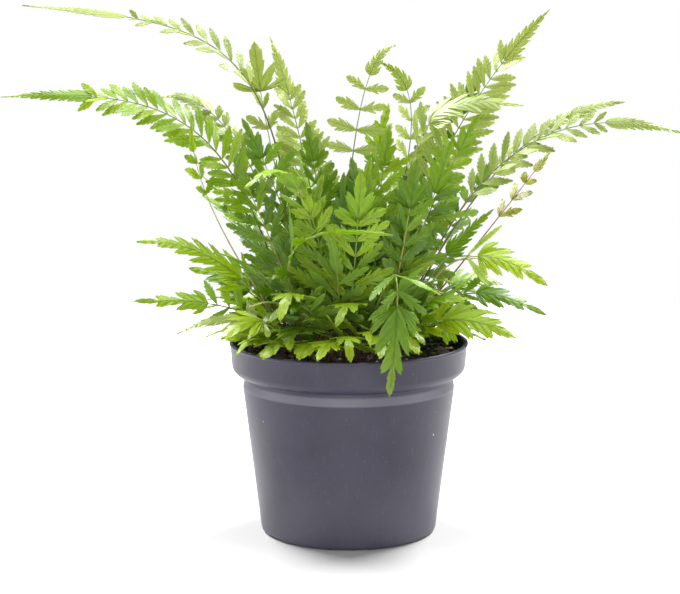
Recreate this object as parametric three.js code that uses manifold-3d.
// Potted fern: a plastic nursery pot filled with compost, and a dense tuft of fern fronds.
// Millimetres, +Z up. The origin is on the pot's axis, on the surface that the pot stands on.
// -Y is the front, +X the right-hand side. Headings turn from +X (0 degrees) over +Y (90, the back).

import * as THREE from 'three';
import { OBB } from 'three/addons/math/OBB.js';
import { mergeVertices } from 'three/addons/utils/BufferGeometryUtils.js';
import Module from 'manifold-3d';

const wasm = await Module();
wasm.setup();

// Driving dimensions of the pot
const RIM_RADIUS = 60;
const POT_HEIGHT = 96.5;
const LIP_HEIGHT = 1.6;            // the thin rounded lip that stands proud of the rim band
const LIP_OVERHANG = 0.6;
const LIP_ROUND = 0.4;
const LIP_WIDTH = 1.9;
const BAND_RADIUS = 58.7;          // the rim band just above its rounded lower edge
const BAND_BOTTOM = 79.8;
const BAND_CURVE = 5.2;            // height of the rounded lower edge
const BAND_CURVE_ANGLES = [18, 52, 90];
const NECK_RADIUS = 52.4;          // the narrow neck under the band
const NECK_ROUND = 1.2;
const BODY_TOP_RADIUS = 53.3;
const BODY_TOP = 73.8;
const SHOULDER_RISE = 1.8;         // the body's sloping shoulder, up to the neck
const BASE_RADIUS = 44.3;
const BASE_ROUND = 1.2;            // the rounded outer edge of the foot
const FOOT_HEIGHT = 1.6;           // how far the floor plate is raised inside the foot ring
const FOOT_WIDTH = 3.5;
const FOOT_DRAFT = 0.5;            // slope of the foot ring's and the pad's sides
const PAD_RADIUS = 14;             // flat pad in the middle of the floor, level with the foot ring
const WALL = 1.5;
const POT_SIDES = 28;
const DRAIN_HOLES = 6;
const DRAIN_RADIUS = 3.5;
const DRAIN_CIRCLE = 30;
const NOTCHES = 6;                 // shallow gaps in the foot ring that let water out
const NOTCH_WIDTH = 17;
const NOTCH_HEIGHT = 1;

// Driving dimensions of the compost
const SOIL_LEVEL = 91.5;
const SOIL_SIDES = 16;
const SLACK = 0.35;                // clearance between neighbouring pieces
const FACET_ROOM = 0.45;           // extra room where the flats of two round pieces don't line up

// Driving dimensions of the fronds
const STEM_SUNK = 12;              // length of stalk that stands in the compost
const STEM_HALF_WIDTH = 0.8;
const STEM_DEPTH = 1.3;
const TIP_SHARE = 0.6;             // how slim the rib is at its tip beside its foot
const STEM_HOLE_RADIUS = 1.85;
const BLADE_THICKNESS = 0.7;
const STALK_STEPS = 5;             // fewest straight pieces in the bare part of a stalk
const STALK_STEP_LENGTH = 18;      // and the longest that one may be
const WINDOW = 1.8;                // length of rib that a leaflet grows from
const CLEARANCE = 0.3;             // least gap between a leaflet and any other piece
const RIM_CLEARANCE = 1.2;         // least gap between foliage and the pot or the compost
const LEAFLET_ARCH = 0.12;         // how far a leaflet's tip bends down, as a share of its length
const ANGLE_SPREAD = 22;           // how much leaflets differ in angle, fold and size
const FOLD_SPREAD = 40;
const SIZE_SPREAD = 0.3;
const LOBE_LENGTH = 8.5;           // length of rib that one lobe of an end blade takes
const NOTCH_SHARE = 0.5;           // how far in the notches between its lobes reach
const BLADE_DROOP = 0.1;           // how far its margins bend down beside their reach
const TIP_HALF_WIDTH = 0.25;
const LARGE_LEAFLET = 14;
const SMALL_LEAFLET = 9;
const SWINGS = [0, 14, -14, 28, -28, 42, -42];
const SCALES = [1, 0.78, 0.58];
const END_SCALES = [1, 0.8, 0.6, 0.45, 0.3];

const LEAF_COLOURS = {
    lime: 0x9fc42c, light: 0x86b83a, mid: 0x5f9a2b, dark: 0x3f7420, pale: 0x9db977, yellow: 0xb9a53a,
};

// Every frond's midrib is one curve through three places, each given beside the frond's heading:
// root [out, side] in the compost, shoulder [out, side, up] which it bends round, tip [out, side, up].
// Crook is how sharply it bends there. Bare and ends are the shares of the rib below the leaflets and
// under the end blade. Leaflet and plump are the length of the lowest leaflets and their half width beside
// it, and taper is how much shorter the highest are. Roll turns the frond about its rib, fold lifts the
// leaflets out of its plane, and wild is how unevenly they lie. Basal shortens the lowest pair.
const feather = (name, heading, root, shoulder, tip, more = {}) => ({
    name, heading, root, shoulder, tip, crook: 0.7, bare: 0.35, leaflet: 16, pairs: 6, angles: [62, 46],
    plump: 0.27, ends: 0.2, endWidth: 4, roll: 0, fold: 0, tone: 'mid', taper: 0.55, wild: 1,
    basal: true, ...more,
});
const blade = (name, heading, root, shoulder, tip, more = {}) => ({
    name, heading, root, shoulder, tip, crook: 0.7, bare: 0.4, leaflet: 14, pairs: 1, angles: [52, 44],
    plump: 0.32, ends: 0.5, endWidth: 10, roll: 0, fold: 0, tone: 'mid', taper: 0.15, wild: 1,
    basal: false, ...more,
});

const FRONDS = [
    // left
    feather('left_long', 184, [24, 0], [61, 0, 225], [170, 0, 219], {
        crook: 0.86, bare: 0.3, leaflet: 22, pairs: 11, angles: [56, 42], plump: 0.3, ends: 0.2,
        endWidth: 4, roll: -50, tone: 'light', taper: 0.42, wild: 0.4,
    }),
    feather('left_high', 178, [20, 0], [37, 0, 254], [161, 0, 263], {
        crook: 0.93, bare: 0.52, leaflet: 16, pairs: 10, angles: [44, 30], ends: 0.2, endWidth: 3,
        roll: -32, fold: 8, tone: 'pale', wild: 0.5,
    }),
    feather('left_back', 168, [17, 0], [54, 0, 227], [98, 0, 217], {
        bare: 0.5, leaflet: 16, pairs: 6, ends: 0.14, endWidth: 4, roll: -45, tone: 'pale', plump: 0.32,
    }),
    feather('left_mid', 190, [24, 0], [79, 0, 168], [78, 0, 208], {
        bare: 0.7, leaflet: 15, pairs: 3, roll: -30, ends: 0.12, tone: 'light',
    }),
    feather('top_left', 112, [11, 4], [20, 12, 192], [50, 23, 247], {
        bare: 0.36, leaflet: 25, pairs: 7, angles: [60, 46], plump: 0.3, endWidth: 5, tone: 'light',
        wild: 0.6,
    }),
    blade('top_left_round', 110, [11, 11], [34, 34, 200], [37, 37, 245], {
        bare: 0.7, leaflet: 11, pairs: 2, angles: [44, 34], plump: 0.4, ends: 0.16, endWidth: 15,
        tone: 'light',
    }),
    blade('left_bright', 225, [14, 0], [28, 0, 206], [70, 0, 178], {
        crook: 0.75, bare: 0.55, leaflet: 16, pairs: 2, ends: 0.32, endWidth: 11, tone: 'light',
    }),
    blade('left_lime', 199, [25, 0], [62, 0, 151], [108, 0, 151], {
        bare: 0.4, leaflet: 19, pairs: 1, ends: 0.54, endWidth: 13, roll: -48, tone: 'lime',
    }),
    feather('left_low', 189, [27, 0], [52, 0, 119], [108, 0, 119], {
        crook: 0.85, bare: 0.3, leaflet: 18, pairs: 4, ends: 0.42, endWidth: 7, roll: -50, tone: 'light',
        taper: 0.3,
    }),
    blade('left_low_thin', 196, [28, 0], [50, 0, 121], [88, 0, 104], {
        bare: 0.35, leaflet: 10, pairs: 1, ends: 0.5, endWidth: 5, roll: -25, tone: 'pale',
    }),
    blade('left_rim', 216, [27, 0], [48, 0, 122], [76, 0, 105], {
        bare: 0.25, leaflet: 18, pairs: 2, ends: 0.45, endWidth: 15, roll: -20, tone: 'lime',
    }),
    // right
    feather('right_long', 359, [22, 0], [69, 0, 230], [167, 0, 200], {
        bare: 0.42, leaflet: 18, pairs: 11, angles: [48, 36], ends: 0.2, endWidth: 4, roll: 48,
        tone: 'pale', taper: 0.45, wild: 0.4,
    }),
    feather('right_long_twin', 7, [20, 0], [76, 0, 212], [140, 0, 215], {
        bare: 0.5, leaflet: 12, pairs: 6, angles: [44, 32], ends: 0.16, endWidth: 4, roll: 40,
        tone: 'pale', wild: 0.4,
    }),
    feather('top_right', 20, [10, 0], [46, 0, 204], [109, 0, 261], {
        bare: 0.42, leaflet: 24, pairs: 8, angles: [58, 42], plump: 0.24, ends: 0.18, endWidth: 5,
        roll: 62, tone: 'pale', taper: 0.4, wild: 0.5,
    }),
    feather('top_right_dark', 36, [13, 0], [36, 0, 184], [92, 0, 234], {
        bare: 0.45, leaflet: 14, pairs: 7, ends: 0.22, endWidth: 6, plump: 0.38, roll: 48, tone: 'dark',
    }),
    blade('right_tan', 339, [22, 0], [30, 0, 222], [89, 0, 216], {
        crook: 0.92, bare: 0.62, leaflet: 19, pairs: 2, ends: 0.3, endWidth: 11, roll: 40, tone: 'pale',
    }),
    feather('right_yellow', 12, [22, 0], [60, 0, 135], [106, 0, 192], {
        bare: 0.64, leaflet: 14, pairs: 3, angles: [44, 36], plump: 0.3, ends: 0.12, endWidth: 3,
        roll: 30, tone: 'yellow',
    }),
    blade('right_up', 353, [18, 0], [42, 0, 138], [72, 0, 164], {
        bare: 0.6, leaflet: 17, pairs: 2, ends: 0.36, endWidth: 10, roll: 50, tone: 'mid',
    }),
    blade('right_mid', 346, [27, 0], [46, 0, 165], [100, 0, 128], {
        bare: 0.57, leaflet: 23, pairs: 1, ends: 0.36, endWidth: 11, roll: 42, tone: 'lime',
    }),
    blade('right_low_thin', 351, [27, 0], [48, 0, 136], [99, 0, 112], {
        crook: 0.75, bare: 0.4, leaflet: 16, pairs: 2, angles: [44, 36], ends: 0.42, endWidth: 8,
        roll: 38, tone: 'mid',
    }),
    blade('right_lime', 327, [26, 0], [52, 0, 123], [95, 0, 107], {
        bare: 0.3, leaflet: 20, pairs: 2, ends: 0.54, endWidth: 14, roll: 42, tone: 'lime',
    }),
    // top centre
    feather('top_middle', 86, [6, 4], [8, 1, 240], [26, -22, 243], {
        bare: 0.6, leaflet: 18, pairs: 4, angles: [84, 70], plump: 0.24, ends: 0.14, endWidth: 4,
        tone: 'pale', taper: 0.4, wild: 0.4,
    }),
    feather('top_middle_curl', 60, [10, 0], [50, -24, 222], [46, 8, 234], {
        crook: 0.8, bare: 0.5, leaflet: 16, pairs: 6, ends: 0.14, endWidth: 5, tone: 'light', taper: 0.3,
    }),
    // front
    blade('front_droop', 285, [20, 0], [74, 10, 178], [76, -1, 83], {
        crook: 0.75, bare: 0.5, leaflet: 22, pairs: 2, ends: 0.34, endWidth: 13, tone: 'mid',
    }),
    blade('front_rim', 268, [27, 0], [58, 0, 120], [67, 3, 98], {
        bare: 0.25, leaflet: 20, pairs: 1, ends: 0.45, endWidth: 15, tone: 'lime',
    }),
    blade('front_cross', 222, [24, 0], [60, 0, 162], [40, 74, 160], {
        crook: 0.8, bare: 0.35, leaflet: 22, pairs: 3, angles: [56, 44], ends: 0.36, endWidth: 13,
        roll: -50, tone: 'mid', wild: 1.3,
    }),
    blade('front_hand', 262, [18, 0], [46, 0, 158], [68, 0, 158], {
        bare: 0.25, leaflet: 23, pairs: 3, ends: 0.42, endWidth: 14, roll: -25, tone: 'mid',
    }),
    blade('front_left_small', 238, [24, 0], [50, 0, 146], [68, 4, 116], {
        bare: 0.35, leaflet: 19, pairs: 2, angles: [60, 44], ends: 0.42, endWidth: 12, tone: 'light',
    }),
    blade('front_left_pale', 229, [23, 0], [46, 0, 130], [72, 0, 122], {
        bare: 0.3, leaflet: 15, pairs: 1, ends: 0.5, endWidth: 9, tone: 'pale',
    }),
    // middle: these stand near the front and face forward
    blade('middle_a', 90, [-10, 17], [-10, 38, 150], [0, 60, 196], {
        bare: 0.2, leaflet: 25, pairs: 4, angles: [66, 44], plump: 0.24, ends: 0.22, endWidth: 10,
        tone: 'mid', taper: 0.35, wild: 1.4,
    }),
    blade('middle_b', 84, [-18, 6], [-26, 8, 152], [-24, 26, 188], {
        bare: 0.15, leaflet: 24, pairs: 4, angles: [76, 44], plump: 0.25, ends: 0.26, endWidth: 10,
        tone: 'light', taper: 0.35, roll: -14, wild: 1.4,
    }),
    blade('middle_c', 92, [-24, 2], [-44, -2, 146], [-44, -4, 186], {
        bare: 0.14, leaflet: 26, pairs: 4, angles: [78, 50], plump: 0.26, ends: 0.24, endWidth: 11,
        tone: 'light', taper: 0.35, roll: 12, wild: 1.4,
    }),
    blade('middle_d', 96, [-20, -14], [-36, -24, 150], [-28, -30, 190], {
        bare: 0.16, leaflet: 25, pairs: 4, angles: [72, 48], plump: 0.25, ends: 0.24, endWidth: 11,
        tone: 'mid', taper: 0.35, roll: 16, wild: 1.4,
    }),
    blade('middle_e', 90, [-14, -12], [-18, -36, 150], [-10, -50, 198], {
        bare: 0.2, leaflet: 25, pairs: 4, angles: [70, 48], plump: 0.25, ends: 0.24, endWidth: 10,
        tone: 'mid', taper: 0.35, roll: 22, wild: 1.4,
    }),
    feather('middle_f', 84, [0, -15], [-2, -38, 165], [8, -64, 210], {
        bare: 0.3, leaflet: 24, pairs: 5, angles: [66, 50], plump: 0.26, ends: 0.16, endWidth: 7,
        tone: 'light', wild: 1.2,
    }),
    feather('middle_g', 88, [-4, 8], [2, 12, 160], [12, 22, 206], {
        bare: 0.3, leaflet: 24, pairs: 4, angles: [66, 50], plump: 0.26, ends: 0.18, endWidth: 7,
        tone: 'mid', taper: 0.4, roll: -20, wild: 1.4,
    }),
    blade('middle_h', 94, [-4, -6], [0, -14, 160], [8, -21, 204], {
        bare: 0.3, leaflet: 25, pairs: 4, angles: [72, 50], plump: 0.25, ends: 0.18, endWidth: 8,
        tone: 'light', taper: 0.4, roll: 14, wild: 1.4,
    }),
    feather('middle_i', 100, [-5, 12], [-2, 32, 170], [10, 52, 208], {
        bare: 0.34, leaflet: 24, pairs: 4, angles: [64, 50], plump: 0.26, ends: 0.18, endWidth: 7,
        tone: 'mid', taper: 0.4, roll: -24, wild: 1.4,
    }),
    feather('middle_j', 80, [9, -13], [16, -46, 150], [18, -72, 190], {
        bare: 0.35, leaflet: 22, pairs: 4, plump: 0.28, ends: 0.16, endWidth: 6, tone: 'mid', roll: 24,
        wild: 1.4,
    }),
    // low blades round the front
    blade('low_a', 303, [23, 0], [44, 0, 134], [66, 0, 142], {
        bare: 0.15, leaflet: 21, pairs: 3, ends: 0.42, endWidth: 14, tone: 'mid',
    }),
    blade('low_b', 318, [27, 0], [50, 0, 130], [74, 0, 124], {
        bare: 0.15, leaflet: 21, pairs: 3, ends: 0.42, endWidth: 14, roll: 25, tone: 'mid',
    }),
    blade('low_c', 279, [25, 0], [46, 0, 118], [65, 0, 105], {
        bare: 0.15, leaflet: 20, pairs: 2, ends: 0.5, endWidth: 14, tone: 'lime',
    }),
    blade('low_d', 211, [24, 0], [46, 0, 142], [76, 0, 146], {
        bare: 0.15, leaflet: 21, pairs: 3, ends: 0.42, endWidth: 14, tone: 'mid',
    }),
    blade('low_e', 241, [25, 0], [42, 0, 120], [64, 0, 105], {
        bare: 0.15, leaflet: 19, pairs: 2, ends: 0.5, endWidth: 14, tone: 'mid',
    }),
    blade('low_f', 298, [27, 0], [48, 0, 120], [70, 0, 101], {
        bare: 0.15, leaflet: 19, pairs: 2, ends: 0.5, endWidth: 14, tone: 'lime',
    }),
    // back
    blade('back_a', 48, [20, 0], [30, 0, 150], [60, 0, 196], {
        bare: 0.3, leaflet: 22, pairs: 4, plump: 0.25, ends: 0.22, endWidth: 9, tone: 'mid', taper: 0.35,
        wild: 1.4,
    }),
    blade('back_b', 58, [20, 0], [40, 0, 150], [84, 0, 160], {
        bare: 0.3, leaflet: 19, pairs: 2, ends: 0.42, endWidth: 10, tone: 'mid',
    }),
    blade('back_c', 76, [24, 0], [60, 0, 150], [100, 0, 130], {
        bare: 0.4, leaflet: 16, pairs: 2, ends: 0.45, endWidth: 11, tone: 'lime',
    }),
    feather('back_d', 84, [16, 0], [34, -6, 172], [60, -15, 212], {
        bare: 0.3, leaflet: 22, pairs: 4, plump: 0.25, ends: 0.2, endWidth: 8, tone: 'light', wild: 1.4,
    }),
    blade('back_e', 104, [25, 0], [62, 0, 140], [104, 0, 112], {
        bare: 0.4, leaflet: 15, pairs: 2, ends: 0.45, endWidth: 10, tone: 'mid',
    }),
    feather('back_f', 120, [16, 0], [36, 0, 168], [76, 0, 202], {
        bare: 0.35, leaflet: 21, pairs: 6, ends: 0.13, endWidth: 5, tone: 'light',
    }),
    blade('back_g', 146, [22, 0], [52, 0, 152], [92, 0, 164], {
        bare: 0.35, leaflet: 18, pairs: 2, ends: 0.44, endWidth: 11, tone: 'mid',
    }),
    feather('back_h', 156, [22, 0], [48, 0, 154], [82, 0, 176], {
        bare: 0.3, leaflet: 19, pairs: 6, ends: 0.14, endWidth: 5, tone: 'mid',
    }),
    blade('back_i', 166, [27, 0], [50, 0, 128], [84, 0, 130], {
        bare: 0.35, leaflet: 16, pairs: 1, ends: 0.48, endWidth: 11, roll: -35, tone: 'mid',
    }),
    blade('back_j', 22, [25, 0], [54, 0, 134], [86, 0, 120], {
        bare: 0.35, leaflet: 17, pairs: 2, ends: 0.42, endWidth: 12, roll: 35, tone: 'mid',
    }),
    blade('back_k', 45, [27, 0], [58, 0, 126], [90, 0, 104], {
        bare: 0.3, leaflet: 15, pairs: 1, ends: 0.48, endWidth: 12, tone: 'mid',
    }),
    blade('back_l', 126, [27, 0], [58, 0, 124], [92, 0, 104], {
        bare: 0.3, leaflet: 15, pairs: 1, ends: 0.48, endWidth: 12, tone: 'mid',
    }),
];

const radians = (degrees) => degrees * Math.PI / 180;
const mix = (a, b, share) => a + (b - a) * share;
const along = (origin, ...steps) => {
    const point = origin.clone();
    for (const [direction, amount] of steps) {
        point.addScaledVector(direction, amount);
    }
    return point;
};
const blend = (...steps) => along(new THREE.Vector3(), ...steps);

// An even-looking draw from 0 to 1 that is the same every time
function vary(frondNumber, place) {
    const wave = Math.sin(frondNumber * 12.9898 + place * 78.233) * 43758.5453;
    return wave - Math.floor(wave);
}

// Triangles of one closed solid, with corners that meet merged into one
class Shell {
    constructor() {
        this.corners = [];
    }

    triangle(a, b, c) {
        if (a.equals(b) || b.equals(c) || c.equals(a)) {
            return;
        }
        this.corners.push(...a.toArray(), ...b.toArray(), ...c.toArray());
    }

    // A four-sided face split along a-c. Mirrored, it keeps that split and faces the other way.
    quad(a, b, c, d, mirrored = false) {
        if (mirrored) {
            this.quad(a, d, c, b);
            return;
        }
        this.triangle(a, b, c);
        this.triangle(a, c, d);
    }

    geometry() {
        const loose = new THREE.BufferGeometry();
        loose.setAttribute('position', new THREE.Float32BufferAttribute(this.corners, 3));
        return mergeVertices(loose, 1e-4);
    }
}

// Solids for cutting and joining

function toSolid(geometry) {
    const bare = geometry.clone();
    bare.deleteAttribute('normal');
    bare.deleteAttribute('uv');
    const merged = mergeVertices(bare, 1e-4);
    return new wasm.Manifold(new wasm.Mesh({
        numProp: 3,
        vertProperties: new Float32Array(merged.attributes.position.array),
        triVerts: new Uint32Array(merged.index.array),
    }));
}

function toGeometry(solid) {
    const { vertProperties, triVerts } = solid.getMesh();
    const geometry = new THREE.BufferGeometry();
    geometry.setAttribute('position', new THREE.BufferAttribute(vertProperties, 3));
    geometry.setIndex(new THREE.BufferAttribute(triVerts, 1));
    return geometry;
}

function cutAll(solid, tools) {
    return tools.reduce((rest, tool) => rest.subtract(toSolid(tool)), solid);
}

// A lathe whose profile of [radius, height] pairs turns about the pot's axis
function turned(profile, sides) {
    const outline = profile.map(([radius, height]) => new THREE.Vector2(radius, height));
    const lathe = new THREE.LatheGeometry(outline, sides);
    lathe.rotateX(Math.PI / 2);
    return lathe;
}

// An upright cylinder from its bottom height to its top height
function upright(radius, bottom, top, sides) {
    const cylinder = new THREE.CylinderGeometry(radius, radius, top - bottom, sides);
    cylinder.rotateX(Math.PI / 2);
    cylinder.translate(0, 0, (bottom + top) / 2);
    return cylinder;
}

const INNER_BAND_RADIUS = BAND_RADIUS - WALL;
const INNER_NECK_RADIUS = NECK_RADIUS - WALL;
const FLOOR_TOP = FOOT_HEIGHT + WALL;
const INNER_BASE_RADIUS = BASE_RADIUS - WALL;

function potGeometry() {
    const foot = [
        [0, 0],
        [PAD_RADIUS, 0],
        [PAD_RADIUS + FOOT_DRAFT, FOOT_HEIGHT],
        [BASE_RADIUS - FOOT_WIDTH, FOOT_HEIGHT],
        [BASE_RADIUS - FOOT_WIDTH + FOOT_DRAFT, 0],
        [BASE_RADIUS - BASE_ROUND, 0],
        [BASE_RADIUS, BASE_ROUND],
    ];
    const body = [
        [BODY_TOP_RADIUS, BODY_TOP],
        [NECK_RADIUS, BODY_TOP + SHOULDER_RISE],
        [NECK_RADIUS, BAND_BOTTOM - NECK_ROUND / 2],
    ];
    const bandEdge = BAND_CURVE_ANGLES.map((angle) => [
        mix(NECK_RADIUS, BAND_RADIUS, Math.sin(radians(angle))),
        BAND_BOTTOM + BAND_CURVE * (1 - Math.cos(radians(angle))),
    ]);
    const lip = [
        [RIM_RADIUS - LIP_OVERHANG, POT_HEIGHT - LIP_HEIGHT],
        [RIM_RADIUS, POT_HEIGHT - LIP_HEIGHT / 2],
        [RIM_RADIUS - LIP_ROUND, POT_HEIGHT],
        [RIM_RADIUS - LIP_WIDTH, POT_HEIGHT],
    ];
    const inside = [
        [INNER_BAND_RADIUS, BAND_BOTTOM + BAND_CURVE],
        [INNER_NECK_RADIUS, BAND_BOTTOM + WALL / 2],
        [INNER_NECK_RADIUS, BODY_TOP],
        [INNER_BASE_RADIUS, FLOOR_TOP],
        [0, FLOOR_TOP],
    ];
    const cuts = [];
    for (let i = 0; i < DRAIN_HOLES; i += 1) {
        const hole = upright(DRAIN_RADIUS, -1, FLOOR_TOP + 1, 8);
        hole.translate(DRAIN_CIRCLE, 0, 0);
        hole.rotateZ(2 * Math.PI * i / DRAIN_HOLES);
        cuts.push(hole);
    }
    for (let i = 0; i < NOTCHES; i += 1) {
        const notch = new THREE.BoxGeometry(3 * FOOT_WIDTH, NOTCH_WIDTH, 2 * NOTCH_HEIGHT);
        notch.translate(BASE_RADIUS, 0, 0);
        notch.rotateZ(2 * Math.PI * (i + 0.5) / NOTCHES);
        cuts.push(notch);
    }
    const profile = [...foot, ...body, ...bandEdge, ...lip, ...inside];
    return toGeometry(cutAll(toSolid(turned(profile, POT_SIDES)), cuts));
}

// The compost, shaped by the pot, with a plain hole for the foot of every stalk
function soilGeometry(ribs) {
    const snug = SLACK + FACET_ROOM;
    const edge = mix(INNER_BAND_RADIUS, RIM_RADIUS - LIP_WIDTH, 0.5);
    const profile = [
        [0, FLOOR_TOP + SLACK],
        [INNER_BASE_RADIUS - snug, FLOOR_TOP + SLACK],
        [INNER_NECK_RADIUS - snug, BODY_TOP],
        [INNER_NECK_RADIUS - snug, BAND_BOTTOM + WALL],
        [INNER_BAND_RADIUS - snug, BAND_BOTTOM + BAND_CURVE],
        [edge - snug, SOIL_LEVEL],
        [0, SOIL_LEVEL],
    ];
    const holes = ribs.map((rib) => {
        const foot = rib.frameAt(0);
        const middle = along(foot.point, [foot.up, -0.4 * STEM_DEPTH]);
        const hole = upright(STEM_HOLE_RADIUS, SOIL_LEVEL - STEM_SUNK - 2 * SLACK, SOIL_LEVEL + 1, 4);
        return hole.translate(middle.x, middle.y, 0);
    });
    return toGeometry(cutAll(toSolid(turned(profile, SOIL_SIDES)), holes));
}

// A frond's rib: a curve with, at every distance from the compost, a forward direction,
// a left-hand direction across the frond, and an up direction out of its upper face
class Rib {
    constructor(frond) {
        this.frond = frond;
        const heading = radians(frond.heading);
        const out = new THREE.Vector3(Math.cos(heading), Math.sin(heading), 0);
        this.across = new THREE.Vector3(-Math.sin(heading), Math.cos(heading), 0);
        const place = ([outward, sideways, height]) => along(
            new THREE.Vector3(0, 0, height), [out, outward], [this.across, sideways]);
        const root = place([...frond.root, SOIL_LEVEL]);
        const shoulder = place(frond.shoulder);
        const tip = place(frond.tip);
        this.curve = new THREE.CubicBezierCurve3(
            root, root.clone().lerp(shoulder, frond.crook), tip.clone().lerp(shoulder, frond.crook), tip);
        this.length = this.curve.getLength();
    }

    frameAt(distance) {
        const share = Math.min(Math.max(distance / this.length, 0), 1);
        const point = this.curve.getPointAt(share);
        const forward = this.curve.getTangentAt(share);
        point.z += Math.min(distance, 0);
        const level = along(this.across, [forward, -this.across.dot(forward)]).normalize();
        const face = new THREE.Vector3().crossVectors(forward, level);
        const roll = radians(this.frond.roll);
        const left = blend([level, Math.cos(roll)], [face, Math.sin(roll)]);
        const up = blend([face, Math.cos(roll)], [level, -Math.sin(roll)]);
        const slim = mix(1, TIP_SHARE, Math.max(distance, 0) / this.length);
        return { point, forward, left, up, halfWidth: STEM_HALF_WIDTH * slim, depth: STEM_DEPTH * slim };
    }

    // The three corners of the rib's section: left and right of its upper face, and its keel
    ringAt(distance) {
        const { point, left, up, forward, halfWidth, depth } = this.frameAt(distance);
        return {
            left: along(point, [left, halfWidth]),
            right: along(point, [left, -halfWidth]),
            keel: along(point, [up, -depth]),
            forward,
        };
    }
}

// The side leaflets of a frond, in pairs along its rib, with their sizes and angles
function leafletRows(frond, rib, number) {
    const first = frond.bare * rib.length;
    const last = (1 - frond.ends) * rib.length;
    const step = (last - first) / frond.pairs;
    const rows = [];
    for (let pair = 0; pair < frond.pairs; pair += 1) {
        const share = pair / Math.max(frond.pairs - 1, 1);
        for (const side of [1, -1]) {
            const place = pair * 2 + (side > 0 ? 1 : 0);
            const lean = frond.wild * ANGLE_SPREAD * (vary(number, place + 50) - 0.5);
            const angle = mix(...frond.angles, share) + lean;
            const basal = frond.basal ? 0.25 * (1 - share) ** 6 : 0;
            const size = frond.leaflet * (1 - frond.taper * share) * (1 - basal)
                * (1 + frond.wild * SIZE_SPREAD * (vary(number, place) - 0.5));
            const room = frond.pairs > 1 ? 0.47 * step * Math.sin(radians(angle)) : Infinity;
            rows.push({
                at: first + step * (pair + 0.3),
                side,
                size,
                half: Math.min(frond.plump * size + 0.5, room),
                angle,
                fold: frond.fold + frond.wild * FOLD_SPREAD * (vary(number, place + 90) - 0.5),
            });
        }
    }
    return rows;
}

// Rungs of a leaflet from its foot to its tip: [share of length, share of half width] of its two
// margins. A large leaflet has a tooth on both margins, a middling one on its front margin only.
function leafletRungs(size) {
    if (size > LARGE_LEAFLET) {
        return [
            { rear: [0.44, -1], front: [0.36, 0.92] },
            { rear: [0.74, -0.8], front: [0.64, 1] },
        ];
    }
    if (size > SMALL_LEAFLET) {
        return [
            { rear: [0.52, -1], front: [0.38, 0.92] },
            { rear: [0.52, -1], front: [0.66, 0.9] },
        ];
    }
    return [{ rear: [0.52, -1], front: [0.5, 1] }];
}

// The places of a leaflet's rungs and tip, when it is swung about its rib and scaled
function leafletShape(rib, row, swing, scale) {
    const foot = rib.frameAt(row.at);
    const fold = radians(row.fold + swing);
    const angle = radians(row.angle);
    const size = row.size * scale;
    const half = row.half * scale;
    const outward = blend([foot.left, row.side * Math.cos(fold)], [foot.up, Math.sin(fold)]);
    const up = blend([foot.up, Math.cos(fold)], [foot.left, -row.side * Math.sin(fold)]);
    const axis = blend([foot.forward, Math.cos(angle)], [outward, Math.sin(angle)]);
    const wide = blend([foot.forward, Math.sin(angle)], [outward, -Math.cos(angle)]);
    const start = along(foot.point, [foot.left, row.side * foot.halfWidth]);
    const place = ([x, y]) => along(
        start, [axis, x * size], [wide, y * half], [up, -LEAFLET_ARCH * size * x * x]);
    const rungs = leafletRungs(row.size).map(({ rear, front }) => [place(rear), place(front)]);
    return { row, up, axis, wide, start, rungs, tip: place([1, 0]) };
}

// Boxes round the pieces of a frond, used to keep fronds clear of each other

function boxAround(points, axis, up) {
    const forward = axis.clone().normalize();
    const across = new THREE.Vector3().crossVectors(up, forward).normalize();
    const normal = new THREE.Vector3().crossVectors(forward, across);
    const axes = [forward, across, normal];
    const spans = axes.map((direction) => {
        const reach = points.map((point) => point.dot(direction));
        return [Math.min(...reach), Math.max(...reach)];
    });
    const centre = new THREE.Vector3();
    axes.forEach((direction, i) => centre.addScaledVector(direction, (spans[i][0] + spans[i][1]) / 2));
    const [x, y, z] = spans.map(([low, high]) => (high - low + CLEARANCE) / 2);
    const box = new OBB(centre, new THREE.Vector3(x, y, z), new THREE.Matrix3().setFromMatrix4(
        new THREE.Matrix4().makeBasis(forward, across, normal)));
    box.reach = Math.hypot(x, y, z);
    return box;
}

function boxesMeet(a, b) {
    const reach = a.reach + b.reach;
    return a.center.distanceToSquared(b.center) < reach * reach && a.intersectsOBB(b);
}

// A sheet's section between two pairs of points, with its thickness under it
function sheetBox(ends, extra, up) {
    const [[a, b], [c, d]] = ends;
    const axis = along(c, [d, 1], [a, -1], [b, -1]);
    const top = [a, b, c, d, ...extra];
    return boxAround([...top, ...top.map((point) => along(point, [up, -BLADE_THICKNESS]))], axis, up);
}

function leafletBoxes(shape) {
    const foot = [-WINDOW / 2, WINDOW / 2].map((offset) => along(shape.start, [shape.wide, offset]));
    const rungs = [foot, ...shape.rungs, [shape.tip, shape.tip]];
    return rungs.slice(1).map((rung, i) => sheetBox([rungs[i], rung], [], shape.up));
}

function endBladeBoxes(stations) {
    return stations.slice(1).map((station, i) => {
        const before = stations[i];
        const ends = [[before.left, before.right], [station.left, station.right]];
        return sheetBox(ends, station.lobes, station.up);
    });
}

function ribBoxes(rib) {
    const steps = Math.ceil(rib.length / 8);
    const rings = Array.from({ length: steps + 1 }, (_, i) => rib.ringAt(rib.length * i / steps));
    return rings.slice(1).map((ring, i) => {
        const before = rings[i];
        const corners = [before, ring].flatMap(({ left, right, keel }) => [left, right, keel]);
        return boxAround(corners, along(ring.keel, [before.keel, -1]), ring.forward.clone().cross(
            along(ring.left, [ring.right, -1])));
    });
}

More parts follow.
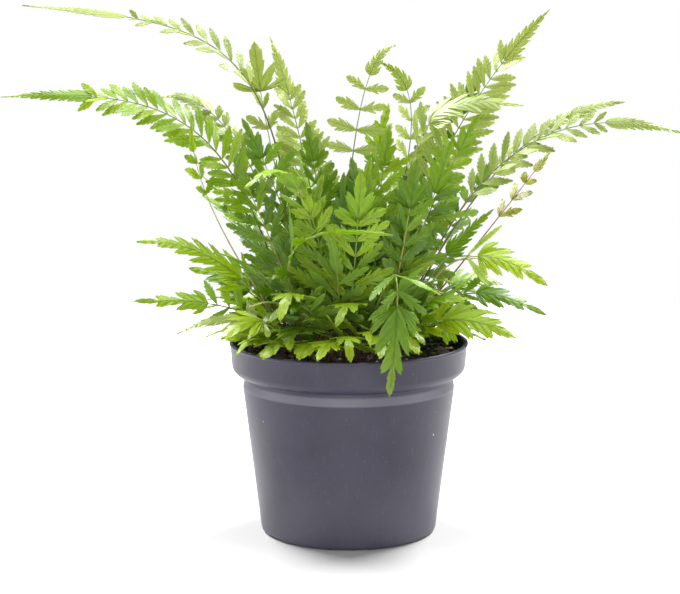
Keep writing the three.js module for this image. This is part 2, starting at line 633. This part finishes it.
// Whether a point of foliage is clear of the pot's wall and lip and of the compost
function clearOfPot(point) {
    const radius = Math.hypot(point.x, point.y);
    if (radius > RIM_RADIUS + RIM_CLEARANCE) {
        return true;
    }
    const floor = radius > INNER_BAND_RADIUS - RIM_CLEARANCE ? POT_HEIGHT : SOIL_LEVEL;
    return point.z > floor + RIM_CLEARANCE;
}

// Half width of an end blade at a share of its length, as a share of its widest
function endWidthAt(share) {
    const widest = 0.25;
    if (share < widest) {
        return mix(0.55, 1, Math.sin(0.5 * Math.PI * share / widest));
    }
    return 1 - ((share - widest) / (1 - widest)) ** 1.3;
}

// The lobed blade that ends a frond: stations along the rib, each with the lobes just before it
function endBladeStations(frond, rib, scale) {
    const start = (1 - frond.ends) * rib.length;
    const span = rib.length - start;
    const lobeCount = Math.max(3, Math.round(span / LOBE_LENGTH));
    const spot = (share, reach) => {
        const frame = rib.frameAt(start + span * share);
        const spine = along(frame.point, [frame.up, -BLADE_DROOP * reach]);
        const [left, right] = [reach, -reach].map((offset) => along(spine, [frame.left, offset]));
        return { left, right, up: frame.up };
    };
    const stations = [{ ...rib.ringAt(start), up: rib.frameAt(start).up, lobes: [] }];
    for (let lobe = 0; lobe < lobeCount; lobe += 1) {
        const reach = scale * frond.endWidth * endWidthAt((lobe + 0.5) / lobeCount);
        const wing = spot(Math.min((lobe + 0.95) / lobeCount, 0.985), reach);
        const last = lobe === lobeCount - 1;
        const notch = scale * NOTCH_SHARE * frond.endWidth * endWidthAt((lobe + 1) / lobeCount);
        const halfWidth = last ? TIP_HALF_WIDTH : Math.max(notch, 2 * TIP_HALF_WIDTH);
        const station = spot((lobe + 1) / lobeCount, halfWidth);
        station.lobes = [wing.left, wing.right];
        stations.push(station);
    }
    return stations;
}

// Turns a frond's rib, placed leaflets and end blade into one closed solid

function addLeaflet(shell, shape, edges, keels) {
    const mirrored = shape.row.side < 0;
    const lowered = (point) => along(point, [shape.up, -BLADE_THICKNESS]);
    const rungs = [
        { rear: edges[0], front: edges[1], rearKeel: keels[0], frontKeel: keels[1] },
        ...shape.rungs.map(([a, b]) => (
            { rear: a, front: b, rearKeel: lowered(a), frontKeel: lowered(b) })),
    ];
    rungs.slice(1).forEach((rung, i) => {
        const before = rungs[i];
        shell.quad(before.rear, before.front, rung.front, rung.rear, mirrored);
        shell.quad(before.rearKeel, before.frontKeel, rung.frontKeel, rung.rearKeel, !mirrored);
        shell.quad(before.rear, rung.rear, rung.rearKeel, before.rearKeel, mirrored);
        shell.quad(rung.front, before.front, before.frontKeel, rung.frontKeel, mirrored);
    });
    const end = rungs.at(-1);
    const { tip } = shape;
    const tipKeel = lowered(tip);
    shell.quad(end.rear, end.front, tip, tip, mirrored);
    shell.quad(end.rearKeel, end.frontKeel, tipKeel, tipKeel, !mirrored);
    shell.quad(end.rear, tip, tipKeel, end.rearKeel, mirrored);
    shell.quad(tip, end.front, end.frontKeel, tipKeel, mirrored);
}

function addLobe(shell, tip, up, [rear, front], [rearKeel, frontKeel], mirrored) {
    const tipKeel = along(tip, [up, -BLADE_THICKNESS]);
    shell.quad(rear, front, tip, tip, mirrored);
    shell.quad(rearKeel, frontKeel, tipKeel, tipKeel, !mirrored);
    shell.quad(rear, tip, tipKeel, rearKeel, mirrored);
    shell.quad(tip, front, frontKeel, tipKeel, mirrored);
}

function addEndBlade(shell, stations) {
    const keels = stations.map((station) => (station.keel
        ? { left: station.keel, right: station.keel }
        : {
            left: along(station.left, [station.up, -BLADE_THICKNESS]),
            right: along(station.right, [station.up, -BLADE_THICKNESS]),
        }));
    stations.slice(1).forEach((station, i) => {
        const before = stations[i];
        const [keel, keelBefore] = [keels[i + 1], keels[i]];
        shell.quad(before.right, station.right, station.left, before.left);
        shell.quad(keelBefore.right, keel.right, keel.left, keelBefore.left, true);
        const [leftTip, rightTip] = station.lobes;
        const { up } = station;
        addLobe(shell, leftTip, up, [before.left, station.left], [keelBefore.left, keel.left], false);
        addLobe(shell, rightTip, up, [before.right, station.right], [keelBefore.right, keel.right], true);
    });
    const [end, endKeel] = [stations.at(-1), keels.at(-1)];
    shell.quad(end.right, endKeel.right, endKeel.left, end.left);
}

function frondGeometry({ rib, frond, leaflets, stations }) {
    const shell = new Shell();
    const bladeStart = (1 - frond.ends) * rib.length;
    const windows = [...new Set(leaflets.map((shape) => shape.row.at))].sort((a, b) => a - b);
    const firstLeaflet = windows.length > 0 ? windows[0] - WINDOW / 2 : bladeStart;
    const steps = Math.max(STALK_STEPS, Math.ceil(firstLeaflet / STALK_STEP_LENGTH));
    const stops = [-STEM_SUNK];
    for (let i = 0; i < steps; i += 1) {
        stops.push(firstLeaflet * i / steps);
    }
    for (const at of windows) {
        stops.push(at - WINDOW / 2, at + WINDOW / 2);
    }
    stops.push(bladeStart);
    const rings = stops.map((distance) => rib.ringAt(distance));
    const foot = rings[0];
    shell.triangle(foot.left, foot.keel, foot.right);
    rings.slice(1).forEach((ring, i) => {
        const before = rings[i];
        shell.quad(before.right, ring.right, ring.left, before.left);
        const middle = (stops[i] + stops[i + 1]) / 2;
        const here = leaflets.filter((shape) => Math.abs(shape.row.at - middle) < WINDOW / 4);
        const leftLeaflet = here.find((shape) => shape.row.side > 0);
        const rightLeaflet = here.find((shape) => shape.row.side < 0);
        if (leftLeaflet) {
            addLeaflet(shell, leftLeaflet, [before.left, ring.left], [before.keel, ring.keel]);
        } else {
            shell.quad(before.left, ring.left, ring.keel, before.keel);
        }
        if (rightLeaflet) {
            addLeaflet(shell, rightLeaflet, [before.right, ring.right], [before.keel, ring.keel]);
        } else {
            shell.quad(before.keel, ring.keel, ring.right, before.right);
        }
    });
    addEndBlade(shell, stations);
    return shell.geometry();
}

// Places every frond: ribs first, then end blades, then leaflets pair by pair, each bent or
// made smaller until it is clear of all that is already there, and left out if it never is
function growFronds() {
    const fronds = FRONDS.map((frond, number) => {
        const rib = new Rib(frond);
        return { frond, rib, rows: leafletRows(frond, rib, number), leaflets: [], ribBoxes: ribBoxes(rib) };
    });
    const placed = [];
    const meets = (boxes, others) => others.some((other) => boxes.some((box) => boxesMeet(box, other)));
    const clearOfFronds = (boxes, owner, at) => {
        const opposite = (piece) => piece.plant === owner && piece.at === at;
        return !fronds.some((plant) => plant !== owner && meets(boxes, plant.ribBoxes))
            && !placed.some((piece) => !opposite(piece) && meets(boxes, piece.boxes));
    };
    for (const plant of fronds) {
        for (const scale of END_SCALES) {
            plant.stations = endBladeStations(plant.frond, plant.rib, scale);
            plant.endBoxes = endBladeBoxes(plant.stations);
            const edges = plant.stations.flatMap(({ left, right, lobes }) => [left, right, ...lobes]);
            if (edges.every(clearOfPot) && clearOfFronds(plant.endBoxes, plant)) {
                break;
            }
        }
        placed.push({ plant, boxes: plant.endBoxes });
    }
    const mostRows = Math.max(...fronds.map((plant) => plant.rows.length));
    for (let turn = 0; turn < mostRows; turn += 1) {
        for (const plant of fronds) {
            const row = plant.rows[plant.rows.length - 1 - turn];
            if (!row) {
                continue;
            }
            const tries = SCALES.flatMap((scale) => SWINGS.map((swing) => [swing, scale]));
            for (const [swing, scale] of tries) {
                const shape = leafletShape(plant.rib, row, swing, scale);
                const boxes = leafletBoxes(shape);
                const edges = [...shape.rungs.flat(), shape.tip];
                if (edges.every(clearOfPot) && clearOfFronds(boxes, plant, row.at)) {
                    plant.leaflets.push(shape);
                    placed.push({ plant, boxes, at: row.at });
                    break;
                }
            }
        }
    }
    return fronds;
}

function addPiece(group, name, geometry, colour, roughness) {
    const finish = new THREE.MeshStandardMaterial({ color: colour, roughness, metalness: 0 });
    const piece = new THREE.Mesh(geometry, finish);
    piece.name = name;
    group.add(piece);
}

const fern = new THREE.Group();
const fronds = growFronds();
addPiece(fern, 'pot', potGeometry(), 0x5a5866, 0.55);
addPiece(fern, 'soil', soilGeometry(fronds.map(({ rib }) => rib)), 0x2b2119, 0.95);
for (const plant of fronds) {
    addPiece(fern, `frond_${plant.frond.name}`, frondGeometry(plant), LEAF_COLOURS[plant.frond.tone], 0.6);
}

export default fern;
